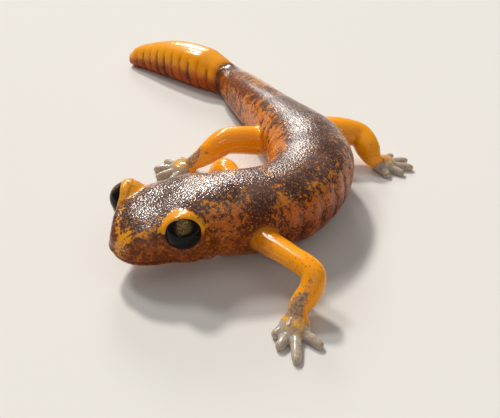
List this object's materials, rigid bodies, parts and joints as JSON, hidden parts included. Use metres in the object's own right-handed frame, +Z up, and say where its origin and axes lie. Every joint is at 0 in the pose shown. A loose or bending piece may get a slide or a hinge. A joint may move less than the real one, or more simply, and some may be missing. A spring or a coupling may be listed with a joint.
{
  "type": "salamander model",
  "caption": "Life-size still model of a lungless salamander in mid step: head turned left, body bent, tail pinched at its base, small splayed feet.",
  "frame": {"origin": "bottom centre of the box round the whole animal, on the floor that the feet and tail rest on", "axes": "+Z up. The length from the front hand to the tail tip runs along Y: the head is at -Y and the tail at +Y. The snout points to -X and -Y."},
  "size_m": [0.0514, 0.089, 0.0118],
  "materials": {
    "back_skin": "wet, purple-brown with orange flecks",
    "head_skin": "wet, purple-brown over orange lids and lips",
    "limb_skin": "wet, bright orange with fine dark specks",
    "tail_skin": "wet, orange with dark grooves",
    "eye": "polished near-black"
  },
  "bodies": {
    "root": {"eye_left": "eye", "eye_right": "eye", "front_left_foot": "limb_skin", "front_left_forearm": "limb_skin", "front_left_upper_arm": "limb_skin", "front_right_foot": "limb_skin", "front_right_forearm": "limb_skin", "front_right_upper_arm": "limb_skin", "head": "head_skin", "lower_jaw": "head_skin", "neck": "back_skin", "pelvis": "back_skin", "rear_left_foot": "limb_skin", "rear_left_shank": "limb_skin", "rear_left_thigh": "limb_skin", "rear_right_foot": "limb_skin", "rear_right_shank": "limb_skin", "rear_right_thigh": "limb_skin", "tail_base": "tail_skin", "tail_end": "tail_skin", "tail_middle": "tail_skin", "trunk_front": "back_skin", "trunk_middle": "back_skin"}
  },
  "joints": []
}
